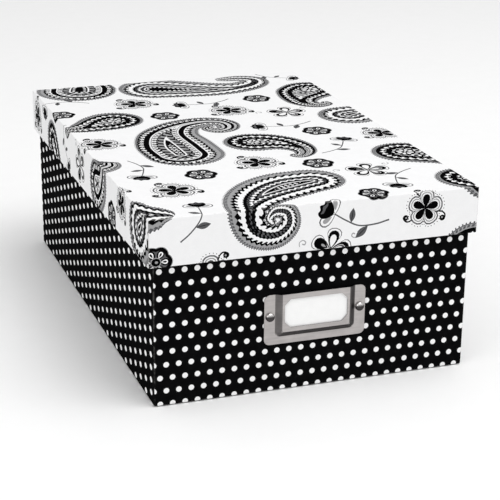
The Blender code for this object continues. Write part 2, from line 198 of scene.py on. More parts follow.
class Field:
    """A number over a surface. Sums, products and comparisons of fields add Math nodes."""

    def __init__(self, pattern, socket):
        self.pattern = pattern
        self.socket = socket

    def _math(self, operation, *others):
        node = self.pattern.node("ShaderNodeMath", operation=operation)
        for socket, value in zip(node.inputs, (self, *others)):
            self.pattern.join(value, socket)
        return Field(self.pattern, node.outputs[0])

    def __add__(self, other):
        return self._math("ADD", other)

    def __sub__(self, other):
        return self._math("SUBTRACT", other)

    def __mul__(self, other):
        return self._math("MULTIPLY", other)

    def __truediv__(self, other):
        return self._math("DIVIDE", other)

    def __mod__(self, other):
        return self._math("FLOORED_MODULO", other)

    def __gt__(self, other):
        return self._math("GREATER_THAN", other)

    def __abs__(self):
        return self._math("ABSOLUTE")

    def least(self, other):
        return self._math("MINIMUM", other)

    def most(self, other):
        return self._math("MAXIMUM", other)

    def root(self):
        return self._math("SQRT")

    def between(self, start, end):
        """0 before start, 1 past end and a smooth rise from one to the other."""
        node = self.pattern.node("ShaderNodeMapRange", interpolation_type="SMOOTHSTEP")
        self.pattern.join(self, node.inputs["Value"])
        node.inputs["From Min"].default_value = start
        node.inputs["From Max"].default_value = end
        return Field(self.pattern, node.outputs["Result"])


class Pattern:
    """A material and short names for the nodes of its pattern. Lengths are in metres."""

    def __init__(self, name, roughness=0.5, metallic=0.0, specular=0.5):
        self.material = bpy.data.materials.new(name)
        self.material.use_nodes = True
        self.tree = self.material.node_tree
        self.shader = self.tree.nodes["Principled BSDF"]
        self.shader.inputs["Roughness"].default_value = roughness
        self.shader.inputs["Metallic"].default_value = metallic
        self.shader.inputs["Specular IOR Level"].default_value = specular
        self.place = self.node("ShaderNodeTexCoord")

    def node(self, kind, **settings):
        made = self.tree.nodes.new(kind)
        for name, value in settings.items():
            setattr(made, name, value)
        return made

    def join(self, value, socket):
        if isinstance(value, Field):
            self.tree.links.new(value.socket, socket)
        else:
            socket.default_value = value

    def parts(self, output):
        """The x, y and z of the place ("Object") or of the facing direction ("Normal")."""
        node = self.node("ShaderNodeSeparateXYZ")
        self.tree.links.new(self.place.outputs[output], node.inputs[0])
        return [Field(self, socket) for socket in node.outputs]

    def noise(self, scale, detail=2.0, roughness=0.5, stretch=(1, 1, 1), lift=0.0):
        mapping = self.node("ShaderNodeMapping")
        mapping.inputs["Scale"].default_value = stretch
        mapping.inputs["Location"].default_value = (lift, lift, lift)
        self.tree.links.new(self.place.outputs["Object"], mapping.inputs["Vector"])
        node = self.node("ShaderNodeTexNoise")
        self.tree.links.new(mapping.outputs["Vector"], node.inputs["Vector"])
        node.inputs["Scale"].default_value = scale
        node.inputs["Detail"].default_value = detail
        node.inputs["Roughness"].default_value = roughness
        return Field(self, node.outputs["Fac"])

    def mix(self, share, first, second):
        """A colour between two others, which are colours or fields."""
        node = self.node("ShaderNodeMix", data_type="RGBA")
        self.join(share, node.inputs["Factor"])
        colours = [socket for socket in node.inputs if socket.type == "RGBA"]
        for value, socket in zip((first, second), colours):
            self.join(value if isinstance(value, Field) else (*value, 1), socket)
        return Field(self, [socket for socket in node.outputs if socket.type == "RGBA"][0])

    def worn_and_shaded_folds(self):
        """1 on patches of the folds, which face between two sides, and 0 on flat panels."""
        # Patches on folds for rubbed print, which on the lid's white paper also serve as painted crease
        # shade
        x, y, z = self.parts("Normal")
        rubbed_and_shaded = self.noise(scale=260, detail=4, roughness=0.7, lift=0.9).between(0.42, 0.68)
        return (abs(x * y) + abs(y * z) + abs(z * x)).between(0.12, 0.42) * rubbed_and_shaded

    def set_colour(self, colour):
        self.join(colour, self.shader.inputs["Base Color"])

    def set_roughness(self, roughness):
        self.join(roughness, self.shader.inputs["Roughness"])

    def set_bump(self, height, depth, strength=1.0):
        """Bumps from a field, depth metres high where it is 1. Returns their node."""
        node = self.node("ShaderNodeBump")
        node.inputs["Strength"].default_value = strength
        node.inputs["Distance"].default_value = depth
        self.join(height, node.inputs["Height"])
        self.tree.links.new(node.outputs["Normal"], self.shader.inputs["Normal"])
        return node


def paper_grain(look, tooth):
    """Give paper its tooth and the faint waves of gluing down. Returns its fibres and mottling."""
    fibre = look.noise(scale=1400, detail=4, roughness=0.6)
    mottle = look.noise(scale=220, detail=3, lift=0.3)
    waves = look.noise(scale=26, detail=1, lift=0.7)
    look.set_bump(fibre * tooth + waves * 6.0, depth=0.00002)
    return fibre, mottle


def paper_look(name, colour, roughness, specular=0.3, tooth=PRINT_TOOTH, rubbed_and_shaded=None):
    """Calendered paper, slightly mottled. Its folds may be rubbed to another colour, which on white
    paper is also painted crease shade.
    """
    look = Pattern(name, specular=specular)
    fibre, mottle = paper_grain(look, tooth)
    shade = (fibre * 0.5 + mottle * 0.5).between(0.3, 0.75)
    darker = tuple(MOTTLE_SHADE * part for part in colour)
    plain = look.mix(shade, darker, colour)
    # On white paper the fold colour darkens the creases as painted shade, as well as showing rubbed
    # print
    look.set_colour(look.mix(look.worn_and_shaded_folds() * FOLD_WEAR_AND_SHADE, plain, rubbed_and_shaded) if rubbed_and_shaded else plain)
    look.set_roughness(mottle * 0.12 + (roughness - 0.06))
    return look.material


# Outlines: arrays of complex numbers, u to the right and v to the back as u + vj

def circle(centre, radius, sides=10):
    return centre + radius * np.exp(2j * math.pi * np.arange(sides) / sides)


def petal(reach, width, start=0.0, steps=14):
    """A drop from its point at start to its round end at reach, along +u."""
    angle = 2 * math.pi * np.arange(steps) / steps
    along = (1 - np.cos(angle)) / 2
    across = -np.sin(angle) * np.sin(angle / 2) / PETAL_WIDTH
    return start + (reach - start) * along + 1j * width * across


def leaf(reach, width, steps=10):
    """A pointed oval along +u, from 0 to reach."""
    share = np.linspace(0, 1, steps)
    side = width / 2 * np.sin(math.pi * share)
    lower = reach * share - 1j * side
    return np.concatenate([lower[:-1], (reach * share + 1j * side)[:0:-1]])


def lobed(radius, lobes, depth, steps=8):
    """A round outline with bulging lobes. Depth is the share of the radius that its dents take."""
    angle = 2 * math.pi * np.arange(lobes * steps) / (lobes * steps)
    return radius * (1 - depth + depth * abs(np.cos(lobes * angle / 2))) * np.exp(1j * angle)


def smooth_curve(points, steps):
    """A Catmull-Rom curve through rows of numbers, or through complex numbers."""
    rows = np.array(points)
    rows = rows.reshape(len(rows), -1)
    rows = np.vstack([2 * rows[0] - rows[1], rows, 2 * rows[-1] - rows[-2]])
    share = np.linspace(0, 1, steps, endpoint=False)[:, None]
    stretches = []
    for before, start, end, after in zip(rows, rows[1:], rows[2:], rows[3:]):
        linear = (end - before) * share
        square = (2 * before - 5 * start + 4 * end - after) * share ** 2
        cube = (3 * start - before - 3 * end + after) * share ** 3
        stretches.append((2 * start + linear + square + cube) / 2)
    return np.vstack([*stretches, rows[-2:-1]]).squeeze()


def stroke(points, width, end_width=None, steps=5):
    """The outline of a line through points, which may taper."""
    path = smooth_curve(points, steps)
    along = np.gradient(path)
    widths = np.linspace(width, width if end_width is None else end_width, len(path))
    side = 0.5j * widths * along / abs(along)
    return np.concatenate([path - side, (path + side)[::-1]])


def placed(shapes, at, turn=0.0, size=1.0, mirrored=False):
    """Shapes mirrored left to right if so told, turned by degrees anticlockwise, enlarged and moved.

    A shape is an outline and the ink inside it, and later shapes are printed over earlier ones.
    """
    spin = size * np.exp(1j * math.radians(turn))
    moved = []
    for outline, ink in shapes:
        drawn = -np.conj(outline)[::-1] if mirrored else outline
        moved.append((at + spin * drawn, ink))
    return moved


def around(shapes, count, turn=0.0):
    """Shapes repeated count times at equal turns round 0, starting at a turn."""
    repeated = []
    for index in range(count):
        repeated += placed(shapes, 0, turn + 360 / count * index)
    return repeated


def scallop(phase):
    return abs(np.sin(math.pi * phase))


def zigzag(phase):
    return abs(2 * (phase % 1) - 1)


class Paisley:
    """A curled drop round a line from its head to its tip.

    It has, at each point of the line, a half width and the share of their full size that its bands
    have there. All that is printed in it follows its edge, and an inset is a distance in from the
    edge at full size.
    """

    def __init__(self, middle, reach, share):
        self.middle = middle
        self.reach = reach
        self.share = share

        # Once round the body anticlockwise, past the tip and back round the head
        along = np.gradient(middle)
        along /= abs(along)
        head = along[0] * np.exp(1j * np.radians(np.linspace(90, 270, HEAD_STEPS + 1)[1:-1]))
        self.out = np.concatenate([-1j * along, 1j * along[::-1], head])
        self.foot, self.width, self.scale = (
            np.concatenate([column, column[::-1], np.full(len(head), column[0])])
            for column in (middle, reach, share)
        )

    @classmethod
    def along(cls, spine):
        """A paisley through points that are (u, v, half width), from its head to its tip."""
        rows = smooth_curve(spine, SPINE_STEPS)
        reach = rows[:, 2].clip(min=0)
        share = (reach / FULL_HALF_WIDTH).clip(LEAST_SHARE, 1)
        return cls(rows[:, 0] + 1j * rows[:, 1], reach, share)

    def core(self, inset, push=0.0, until=1.0):
        """The body inside an inset, pushed to its left by a distance and cut off at a share."""
        along = np.gradient(self.middle)
        last = max(3, round(until * len(self.middle)))
        fade = np.minimum(self.reach / self.reach.max(), 1)
        middle = (self.middle + 1j * push * fade * along / abs(along))[:last]
        reach = (self.reach - inset * self.share)[:last]
        if until < 1:
            reach = reach * np.sqrt(1 - (np.arange(last) / (last - 1)) ** 3)
        return Paisley(middle, reach, self.share[:last])

    def _level(self, inset):
        """Round the body at one inset: places, directions out, shares of full size, room inwards.

        Where the edge bends too sharply for the inset, places that would run backwards are left out.
        """
        depth = inset * self.scale
        place = self.foot + self.out * (self.width - depth)
        columns = np.array([place, self.out, self.scale, self.width - depth])[:, self.width > depth]
        while columns.shape[1] > 3:
            place, out = columns[:2]
            forward = ((np.roll(place, -1) - place) * np.conj(1j * out)).real > 0
            if forward.all():
                break
            columns = columns[:, forward]
        return columns[0], columns[1], columns[2].real, columns[3].real

    def _every(self, inset, pitch, parts=1):
        """What _level gives at every pitch, fitted to a whole number, and a count of the pitches."""
        columns = self._level(inset)
        if len(columns[0]) < 4:
            return [np.array([])] * 5
        place, out, scale, room = (np.append(column, column[0]) for column in columns)
        way = np.append(0, np.cumsum(abs(np.diff(place)) / scale[1:]))
        count = max(3, round(way[-1] / pitch))
        marks = np.arange(count * parts) / parts
        spot = marks / count * way[-1]
        place, out, scale, room = (np.interp(spot, way, column) for column in (place, out, scale, room))
        return place, out / abs(out), scale, room, marks

    def ring(self, inset, ink):
        """Everything inside an inset."""
        place = self._level(inset)[0]
        return [(place, ink)] if len(place) >= FEWEST_CORNERS else []

    def wavy(self, inset, depth, pitch, ink, form=scallop, parts=4):
        """Everything inside an inset whose edge runs in waves that reach in by depth."""
        place, out, scale, room, phase = self._every(inset, pitch, parts)
        wave = np.minimum(depth * scale * form(phase), room)
        return [(place - out * wave, ink)] if len(place) >= FEWEST_CORNERS else []

    def ticks(self, inset, length, pitch, width, ink, lean=0.0):
        """Short bars that point in from an inset. A lean moves their inner ends along the edge."""
        shapes = []
        for place, out, scale, room, _ in zip(*self._every(inset, pitch)):
            half = 0.5j * width * scale * out
            end = place + out * (1j * lean * scale - min(length * scale, room))
            shapes.append((np.array([place - half, place + half, end + half, end - half]), ink))
        return shapes

    def beads(self, inset, pitch, radius, ink, sides=7):
        """Round dots along an inset."""
        shapes = []
        for place, _, scale, room, _ in zip(*self._every(inset, pitch)):
            shapes.append((circle(place, min(radius * scale, room), sides), ink))
        return shapes


# Small motifs, drawn round 0

def windmill_flower():
    """Five black drops in round outlines, with three curls that end in balls."""
    shapes = []
    curl = [(stroke([7, 10 + 1.5j, 13 + 1j, 14 - 1.2j, 12.6 - 2.4j], 0.7, 1.1), BLACK)]
    curl += [(circle(12.8 - 1.7j, 1.8), BLACK), (circle(12.5 - 1.5j, 0.6, 6), LIGHT)]
    for turn in (-20, 118, 215):
        shapes += placed(curl, 0, turn)
    rim_dots = [(circle(spot, 0.36, 4), BLACK) for spot in petal(11.9, 10.6, 1.5, 20)[5:-4]]
    shapes += around(rim_dots, 5, 90)
    layers = [(petal(10.9, 9.4, 1), GREY), (petal(10.1, 8.0, 1), PAPER)]
    layers += [(petal(9.4, 6.9, 1), LIGHT), (petal(8.7, 5.7, 1), PAPER)]
    return shapes + around(layers, 5, 90) + around([(petal(8.0, 4.6), BLACK)], 5, 90)


def loop_flower():
    """Five white petals with thick black ends, one of them filled, and two pale curls beside it."""
    curl = stroke([-2.6 - 1.4j, -2 + 1.2j, 0.4 + 1.9j, 1.8 + 0.2j, 0.7 - 1.1j, -0.5 - 0.2j], 0.45, 0.8)
    shapes = placed([(curl, LIGHT)], -18 + 4j, 20) + placed([(curl, LIGHT)], 14.5 + 9j, 200)
    shapes += around([(petal(13.6, 9.6, 3), GREY), (petal(13.1, 8.7, 3), PAPER)], 5, 80)
    for index in range(5):
        turn = 80 + 72 * index
        shapes += placed([(petal(12.0, 7.2, 0.3), BLACK), (petal(9.4, 4.1, 1.2), PAPER)], 0, turn)
        if index == 1:
            shapes += placed([(petal(9.8, 5.0, 2.0), BLACK), (petal(7.0, 1.5, 3.4), LIGHT)], 0, turn)
        if index in (3, 4):
            shapes += placed([(petal(9.2, 3.6, 1.6), GREY), (petal(7.6, 2.0, 2.0), PAPER)], 0, turn)
    return shapes + [(circle(0, 1.2), BLACK), (circle(0, 0.5, 6), PAPER)]


def button_blossom():
    """Small round flower with a thick dark rim, white drops and a dark heart."""
    shapes = [(lobed(9.3, 6, 0.13), LIGHT), (lobed(8.9, 6, 0.13), BLACK), (lobed(7.0, 6, 0.15), GREY)]
    drop = [(petal(7.2, 4.2, 1.4), BLACK), (petal(6.5, 2.6, 2.6), PAPER), (petal(5.8, 1.1, 3.2), BLACK)]
    shapes += around(drop, 6)
    heart = [(circle(0, 2.8, 12), LIGHT), (circle(0, 2.3, 12), BLACK), (circle(0.2, 0.8, 6), LIGHT)]
    return shapes + heart


def rosebud():
    """Rosebud with two sepals on a bent stem with two leaves. The bud points up."""
    stem = [-4.2j, 0.6 - 12j, 0.2 - 20j, -4 - 28j, -9 - 34j]
    shapes = [(stroke(stem, 0.7, 0.9), GREY)]
    shapes += placed([(leaf(8.0, 3.4), GREY), (leaf(7.6, 0.4), BLACK)], 0.6 - 15j, 160)
    shapes += placed([(leaf(9.0, 4.0), GREY), (leaf(8.6, 0.4), BLACK)], -1.5 - 24.5j, 20)
    sepal = [(petal(9.8, 6.2), GREY), (petal(9.1, 5.0, 0.4), PAPER), (petal(7.8, 2.6, 2.2), LIGHT)]
    shapes += placed(sepal, -4.6j, 150) + placed(sepal, -4.6j, 30)
    bud = [-4.8, -5.6 + 1.8j, -4.2 + 3.8j, -2.3 + 3.7j, -0.6 + 5.4j, 1.3 + 4.1j]
    bud += [3.4 + 4.4j, 4.8 + 2.4j, 4.6 + 0.1j, 2.6 - 2.4j, 0.2 - 3.6j, -2.6 - 2.4j]
    shapes.append((smooth_curve(bud + bud[:1], 3)[:-1][::-1], BLACK))
    fold = [-4.0 + 2.2j, -2.4 + 2.7j, -0.8 + 3.6j, 1.0 + 2.8j]
    fold += [3.0 + 3.0j, 2.0 + 1.6j, -0.6 + 1.7j, -2.6 + 1.4j]
    shapes.append((smooth_curve(fold + fold[:1], 2)[:-1][::-1], GREY))
    return shapes


def heart_flower(size):
    """The little star in a paisley's head."""
    shapes = [(circle(0, size, 14), BLACK)]
    shapes += around([(petal(0.82 * size, 0.34 * size, 0.25 * size), PAPER)], 8)
    return shapes + [(circle(0, 0.3 * size, 8), BLACK), (circle(0, 0.13 * size, 6), PAPER)]


# Paisleys

def fringe(body):
    """Fine hairs round a paisley's edge and a grey hatched rim inside it."""
    shapes = body.ticks(-0.9, 1.8, 2.4, 0.9, GREY, lean=0.5)
    shapes += body.ring(0, GREY) + body.ring(0.6, LIGHT)
    return shapes + body.ticks(0.8, 1.5, 2.7, 1.55, GREY, lean=0.7)


def leaf_paisley(spine, push, until):
    """Grey rim, black saw teeth, a white ribbon with bars, and a dark heart in a hatched ground."""
    body = Paisley.along(spine)
    shapes = fringe(body)
    band = body.core(2.7, push)
    shapes += band.wavy(-0.2, 1.9, 5.2, BLACK, zigzag, 2) + band.wavy(2.0, 1.7, 5.2, PAPER, zigzag, 2)
    shapes += band.ticks(2.3, 2.0, 5.2, 2.2, BLACK, lean=1.2) + band.ring(4.6, PAPER)
    ground = band.core(6.9)
    shapes += ground.wavy(-0.4, 0.8, 3.8, BLACK) + ground.ring(1.3, GREY)
    shapes += ground.ticks(1.2, 2.4, 4.2, 2.2, BLACK, lean=-0.9) + ground.ring(3.8, PAPER)
    shapes += ground.beads(5.5, 4.2, 1.4, BLACK)
    heart = band.core(7.4, 0, until)
    shapes += heart.ring(0, BLACK) + heart.ring(1.3, GREY)
    shapes += heart.ticks(1.2, 1.8, 3.6, 1.7, BLACK, lean=0.8)
    shapes += heart.wavy(2.6, 1.7, 4.6, PAPER, zigzag, 2) + heart.wavy(4.0, 1.7, 4.6, BLACK, zigzag, 2)
    shapes += heart.ring(6.4, GREY) + heart.ring(7.6, PAPER) + heart.ring(8.5, BLACK)
    return shapes + heart.beads(10.2, 3.4, 1.0, PAPER)


def hook_paisley(spine, push, until):
    """Grey rim, dark eyes on white, a thick black line, beads and a pale heart with black bars."""
    body = Paisley.along(spine)
    shapes = fringe(body)
    band = body.core(2.5, push)
    shapes += band.wavy(-0.2, 1.1, 4.4, BLACK) + band.wavy(1.3, 1.1, 4.4, PAPER)
    shapes += band.beads(3.2, 5.0, 1.7, BLACK) + band.beads(3.2, 5.0, 0.6, PAPER)
    inner = band.core(5.0, 0.3 * push)
    shapes += inner.ring(0, BLACK) + inner.ring(3.6, PAPER)
    shapes += inner.ring(4.4, LIGHT) + inner.ring(5.2, PAPER) + inner.beads(6.4, 4.2, 1.2, BLACK)
    heart = inner.core(7.0, 0, until)
    shapes += heart.wavy(-0.3, 1.4, 4.6, BLACK) + heart.wavy(1.0, 1.4, 4.6, LIGHT)
    shapes += heart.ticks(1.9, 3.4, 6.4, 3.2, BLACK, lean=1.6) + heart.ring(5.6, PAPER)
    return shapes + heart.ring(6.6, BLACK) + heart.beads(8.6, 3.8, 1.1, PAPER)


def wheel_paisley(spine, push, until):
    """Grey rim, black saw teeth, a white ribbon with black bars and a flower in the head."""
    body = Paisley.along(spine)
    shapes = fringe(body)
    band = body.core(2.2, push)
    shapes += band.ring(0, BLACK) + band.wavy(2.3, 2.2, 5.2, PAPER, zigzag, 2)
    shapes += band.ring(4.6, PAPER) + band.ticks(4.7, 2.2, 4.4, 3.1, BLACK)
    inner = band.core(6.2, 0, until)
    tail = band.core(7.4)
    shapes += tail.ring(0, BLACK) + tail.beads(1.5, 3.4, 0.9, PAPER)
    shapes += inner.ring(0, BLACK) + inner.wavy(3.2, 1.2, 4.6, PAPER) + inner.beads(5.4, 4.2, 1.5, BLACK)
    shapes += inner.ring(6.8, LIGHT)
    for spot, half in zip(inner.middle[::SEED_STEP], inner.reach[::SEED_STEP]):
        seed = min(half - 7.0, 2.8)
        if seed > 0.8:
            shapes += [(circle(spot, seed), BLACK), (circle(spot, 0.4 * seed, 6), PAPER)]
    size = max(inner.reach[0] - 5.0, 2.0)
    return shapes + placed(heart_flower(size), inner.middle[0], 15)


# The lid's layout. Paisleys are (spine, push of the bands to its left, share of it that the heart has)

LEAF_PAISLEYS = (
    (((10.5, -107, 19.5), (-5, -110.5, 21.5), (-20.5, -119, 20), (-33, -131, 16.5),
      (-40.5, -145.5, 12.5), (-39.5, -157, 9.8), (-32.5, -162.5, 8), (-23.5, -162.8, 7),
      (-17.3, -157.3, 6.2), (-18.5, -150.2, 5.3), (-25.5, -148.7, 4.3), (-29.5, -152.7, 3.3),
      (-27, -156.5, 2.5)), 1.6, 0.5),
    (((-14, 126, 26), (5, 119, 22), (25, 113, 17.5), (43, 113.5, 13), (56, 121, 11), (59.5, 131, 9.5),
      (52, 137.5, 7.5), (42, 138, 6), (34, 138, 3)), -1.6, 0.6),
    (((88, 20, 20.5), (98, 24, 18.5), (109, 31, 13), (117, 41, 7), (120, 50, 2)), 1.0, 0.6),
    (((-109, -130, 20), (-104, -135, 19), (-97, -139, 16), (-91, -141, 13), (-86, -143, 9),
      (-83, -145, 3.5)), 1.5, 0.5),
)
HOOK_PAISLEYS = (
    (((-42.5, -35, 24), (-43, -16, 24), (-40.5, 4, 20.5), (-33.5, 18, 16), (-23.5, 27.5, 12.5),
      (-10.5, 31.5, 10.5), (-0.5, 29, 8.5), (3, 21, 8), (0.5, 12.5, 7), (-6.5, 9.5, 6),
      (-11.5, 14, 4.5), (-10, 19, 3.3), (-6, 19.5, 2)), 2.0, 0.45),
    (((-69, 135, 27), (-65, 148, 26), (-57, 162, 18), (-47, 172, 10), (-37, 175, 4)), -1.5, 0.5),
    (((-112, -37, 17), (-107, -45, 14), (-99, -49, 9.5), (-92, -46, 7), (-90, -39, 5)), 1.2, 0.5),
)
WHEEL_PAISLEYS = (
    (((5.5, -23, 18.5), (14, -25.5, 17.5), (23, -32, 14), (28.5, -42, 10), (28.5, -52, 7),
      (23, -58.5, 4.8), (17.5, -56, 2.4)), 0.8, 0.6),
    (((89, 92, 21), (81, 84, 20), (74, 72, 14.5), (72, 60, 10), (77, 51, 6.5), (85, 52, 4.2),
      (85.5, 58, 2)), -0.8, 0.6),
    (((86, -71, 20), (94, -78, 18.5), (103, -90, 13), (107, -103, 7), (104, -112, 2.5)), 0.8, 0.6),
    (((-64, 52, 19), (-73, 47, 17.5), (-85, 41, 12), (-95, 39, 7), (-102, 43, 3)), 0.8, 0.6),
    (((99, -130, 19), (105, -141, 17), (108, -154, 11), (103, -165, 5)), 0.8, 0.6),
    (((95, -190, 22), (84, -196, 20), (70, -200, 12), (60, -206, 4)), 0.8, 0.6),
    (((-118, 84, 15), (-125, 77, 14), (-133, 68, 11), (-139, 58, 6), (-142, 50, 2)), 0.8, 0.6),
    (((128, -62, 13), (124, -48, 12), (117, -37, 8), (109, -33, 3)), 0.8, 0.6),
    (((128, 122, 14), (124, 107, 12.5), (122, 94, 8), (126, 85, 3)), 0.8, 0.6),
)

# Flowers are (u, v, turn in degrees, size), and rosebuds also say whether they are mirrored
WINDMILL_FLOWERS = (
    (64, -156, -5, 1), (-40, 89, 5, 1.15), (16, 54, 0, 1.15), (-86, 0, 0, 1.1), (-69, -102, 0, 1.15),
    (-7, -65, 0, 1.15), (90, -27, 0, 1.1), (-62, -181, 78, 1), (-111, 130, 20, 1), (-105, -93, 10, 0.9),
)
LOOP_FLOWERS = ((51, 39, 0, 1), (50, -98, 0, 1), (7, -174.5, -5, 0.93), (-111, 6, 10, 0.9))
BLOSSOMS = (
    (-93, 75, 0, 1), (-29, 53, 0, 1.08), (-46, -78, 0, 1.08), (44, 79, 0, 1.08), (53, -10, 0, 1.08),
    (27, -77, 0, 1.08), (35, -140, 0, 1), (-93, -171, 0, 1), (-119, -71, 0, 1),
)
ROSEBUDS = (
    (-80, -74, 164, 1, True), (-65, -131, -11, 0.95, False), (5, -152, 62, 1.08, True),
    (62, -33, -30, 1, False), (54, -131, 158, 1, False), (-11, 77, 86, 1.05, True),
    (21, 10, 80, 1.05, True), (89, 127, -119, 0.9, False), (-103, 106, 95, 1, False),
    (-121, 38, 130, 0.8, False),
)

# Flowers as (motif, how far the filling keeps from its middle, its rows), and the same for rosebuds
FLOWERS = (
    (windmill_flower, 14.5, WINDMILL_FLOWERS),
    (loop_flower, 14.5, LOOP_FLOWERS),
    (button_blossom, 9.0, BLOSSOMS),
)
BUD_REACH = 8.0

# Flowers that fill the rest of the sheet: (motif, reach), how often each is tried, the gap that is
# kept round it and the seed of the random draws
FILLERS = ((windmill_flower, 13.5), (loop_flower, 13.5), (button_blossom, 8.5))
FILLER_TRIES = 500
FILLER_GAP = 3.5
FILLER_SEED = 11


def filling():
    """Flowers beyond the top's right and back edges and inside the rim, clear of the layout above."""
    taken = []
    for spine, _, _ in LEAF_PAISLEYS + HOOK_PAISLEYS + WHEEL_PAISLEYS:
        taken += [(complex(u, v), half) for u, v, half in spine]
    for _, reach, rows in FLOWERS:
        taken += [(complex(u, v), reach) for u, v, _, _ in rows]
    taken += [(complex(u, v), BUD_REACH) for u, v, _, _, _ in ROSEBUDS]
    draw = random.Random(FILLER_SEED)
    flap = PROFILE[0][-1]
    skirt = LID_TOP - LID_RIM
    shapes = []
    for motif, reach in FILLERS:
        seen_width = FLAT_WIDTH + skirt + reach
        seen_length = FLAT_LENGTH + skirt + reach
        for _ in range(FILLER_TRIES):
            u = draw.uniform(-FLAT_WIDTH - flap, FLAT_WIDTH + flap)
            v = draw.uniform(-FLAT_LENGTH - flap, FLAT_LENGTH + flap)
            turn = draw.uniform(0, 360)
            laid_out = -seen_width < u < FLAT_WIDTH + reach and -seen_length < v < FLAT_LENGTH + reach
            on_sheet = abs(u) < FLAT_WIDTH or abs(v) < FLAT_LENGTH
            at = complex(u, v)
            clear = all(abs(at - place) > reach + other + FILLER_GAP for place, other in taken)
            if on_sheet and clear and not laid_out:
                taken.append((at, reach))
                shapes += placed(motif(), at, turn)
    return shapes


def lid_print():
    """All shapes on the sheet, in printing order."""
    shapes = filling()
    for row in LEAF_PAISLEYS:
        shapes += leaf_paisley(*row)
    for row in HOOK_PAISLEYS:
        shapes += hook_paisley(*row)
    for row in WHEEL_PAISLEYS:
        shapes += wheel_paisley(*row)
    for motif, _, rows in FLOWERS:
        for u, v, turn, size in rows:
            shapes += placed(motif(), complex(u, v), turn, size)
    for u, v, turn, size, mirrored in ROSEBUDS:
        shapes += placed(rosebud(), complex(u, v), turn, size, mirrored)
    return shapes


# Folding the flat sheet over the lid

def lid_profile():
    """The paper's run down from the flat top, as columns.

    They are the distance run, the inset from the lid's side, the height, and the outward and
    upward parts of the direction that the paper faces.
    """
    folds = (
        (TOP_FOLD_RADIUS, LID_TOP - TOP_FOLD_RADIUS, TOP_FOLD_RADIUS, 90, 0),
        (RIM_FOLD_RADIUS, LID_RIM + RIM_FOLD_RADIUS, RIM_FOLD_RADIUS, 0, -90),
        (WALL - RIM_FOLD_RADIUS, LID_RIM + RIM_FOLD_RADIUS, RIM_FOLD_RADIUS, -90, -180),
    )
    rows = []
    for inset, height, radius, start, end in folds:
        for angle in np.radians(np.linspace(start, end, FOLD_STEPS + 1)):
            outward, upward = math.cos(angle), math.sin(angle)
            rows.append((inset - radius * outward, height + radius * upward, outward, upward))
    rows.append((WALL, LID_RIM + TURN_IN, -1.0, 0.0))
    inset, height, outward, upward = np.array(rows).T
    run = np.append(0, np.cumsum(np.hypot(np.diff(inset), np.diff(height))))
    return run, inset, height, outward, upward


PROFILE = lid_profile()


def corner_lines(half_across, flat_across):
    """Places across a flap where its end starts to widen and to bend round the lid's corner."""
    widening = half_across - flat_across
    bend_start = half_across - CORNER_RADIUS
    bends = np.linspace(bend_start, half_across, FOLD_STEPS + 1)
    shares = (bends - flat_across + CORNER_EASE) / (CORNER_EASE + widening)
    return flat_across - CORNER_EASE * (1 - np.append(0, shares))


def folded_flap(past, across, half_out, half_across, flat_across):
    """Distances out, across and up, and the paper's direction in those, for places on a flap."""
    run, *columns = PROFILE
    inset, height, outward, upward = (np.interp(past, run, column) for column in columns)
    side = np.sign(across)
    share = ((abs(across) - flat_across + CORNER_EASE) / CORNER_EASE).clip(0, 1)
    reach = abs(across) + share * (half_across - inset - flat_across)
    radius = (CORNER_RADIUS - inset).clip(min=0)
    straight = half_across - inset - radius

    # A flap takes half of the quarter turn round the lid's corner
    bend = (reach - straight).clip(min=0) / np.maximum(radius, FLAT_TOLERANCE) * math.pi / 4
    bend = np.where(radius > 0, bend, 0)
    reach = np.where(radius > 0, np.minimum(reach, straight), reach) + radius * np.sin(bend)
    place = (half_out - inset - radius * (1 - np.cos(bend)), side * reach, height)
    facing = (outward * np.cos(bend), side * outward * np.sin(bend), upward)
    return np.array(place), np.array(facing)


def folded(flat):
    """Places on the lid in metres, and the paper's directions there, for places on the flat sheet."""
    u, v = flat.real, flat.imag
    past_u = abs(u) - FLAT_WIDTH
    past_v = abs(v) - FLAT_LENGTH
    place = np.array([u, v, np.full(len(u), LID_TOP)])
    facing = np.array([0 * u, 0 * u, 0 * u + 1])
    on_end = past_v > -FLAT_TOLERANCE
    on_side = (past_u > -FLAT_TOLERANCE) & ~on_end
    out, turned = folded_flap(past_v.clip(0), u, HALF_LENGTH, HALF_WIDTH, FLAT_WIDTH)
    for target, (outward, across, up) in ((place, out), (facing, turned)):
        target[:, on_end] = np.array([across, outward * np.sign(v), up])[:, on_end]
    out, turned = folded_flap(past_u.clip(0), v, HALF_WIDTH, HALF_LENGTH, FLAT_LENGTH)
    for target, (outward, across, up) in ((place, out), (facing, turned)):
        target[:, on_side] = np.array([outward * np.sign(u), across, up])[:, on_side]
    return place.T * MM, (facing / np.linalg.norm(facing, axis=0)).T


def sheet_outline():
    """The cross-shaped sheet: the flat top and a flap on each side."""
    reach = PROFILE[0][-1]
    outline = []
    for index in range(4):
        spin = 1j ** index
        half, length = (FLAT_WIDTH, FLAT_LENGTH) if index % 2 == 0 else (FLAT_LENGTH, FLAT_WIDTH)
        outline += [spin * complex(-half, -length - reach), spin * complex(half, -length - reach)]
        outline.append(spin * complex(half, -length))
    return np.array(outline)


def crease_lines():
    """Pairs of points across the flaps where the paper bends, and along them near the corners."""
    run = PROFILE[0]
    lines = []
    for index in range(4):
        spin = 1j ** index
        half, length = (FLAT_WIDTH, FLAT_LENGTH) if index % 2 == 0 else (FLAT_LENGTH, FLAT_WIDTH)
        half_across = HALF_WIDTH if index % 2 == 0 else HALF_LENGTH
        for past in run[:-1]:
            lines.append((spin * complex(-half, -length - past), spin * complex(half, -length - past)))
        for across in corner_lines(half_across, half)[:-1]:
            for side in (-1, 1):
                start = spin * complex(side * across, -length)
                lines.append((start, start - spin * 1j * run[-1]))
    return lines


